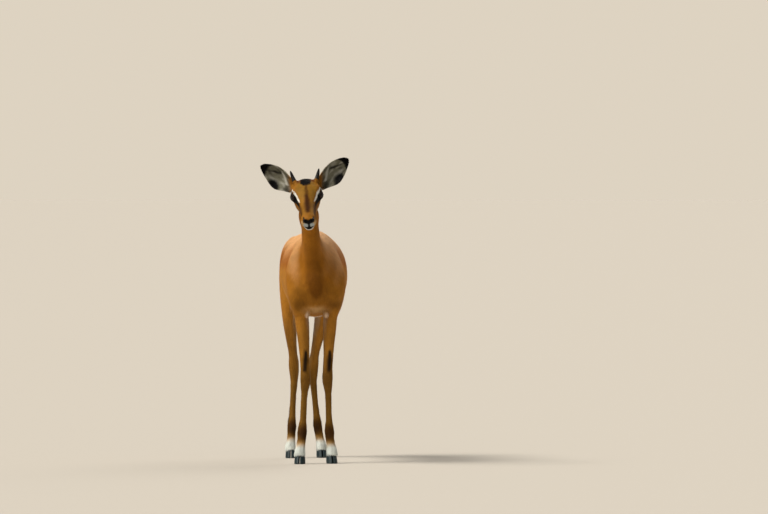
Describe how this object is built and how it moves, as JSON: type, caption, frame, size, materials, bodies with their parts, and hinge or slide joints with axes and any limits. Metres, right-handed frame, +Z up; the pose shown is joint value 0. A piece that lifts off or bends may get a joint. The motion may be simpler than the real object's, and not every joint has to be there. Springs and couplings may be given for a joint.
{
  "type": "impala antelope",
  "caption": "Life-size young male impala standing alert on cloven hooves, with a long neck, wide-set cupped ears and short spike horns.",
  "frame": {"origin": "on the floor, below the middle of the animal's bounding box", "axes": "+Z up, -Y the way the animal faces, +X towards its left side"},
  "size_m": [0.2874, 0.8416, 0.9294],
  "materials": {
    "coat": "short smooth fur, red-brown above, paler on the flanks, white below, with black ear tips and face marks",
    "horn": "dark ridged horn",
    "hoof": "blue-black horn, dull",
    "eye": "wet dark brown"
  },
  "bodies": {
    "root": {"head": "coat", "neck": "coat", "trunk": "coat", "tail": "coat", "ear_left": "coat", "forearm_left": "coat", "fore_cannon_left": "coat", "fore_pastern_left": "coat", "gaskin_left": "coat", "hind_cannon_left": "coat", "hind_pastern_left": "coat", "ear_right": "coat", "forearm_right": "coat", "fore_cannon_right": "coat", "fore_pastern_right": "coat", "gaskin_right": "coat", "hind_cannon_right": "coat", "hind_pastern_right": "coat", "eye_left": "eye", "horn_left": "horn", "fore_hoof_left_inner": "hoof", "fore_hoof_left_outer": "hoof", "hind_hoof_left_inner": "hoof", "hind_hoof_left_outer": "hoof", "eye_right": "eye", "horn_right": "horn", "fore_hoof_right_inner": "hoof", "fore_hoof_right_outer": "hoof", "hind_hoof_right_inner": "hoof", "hind_hoof_right_outer": "hoof"}
  },
  "joints": []
}
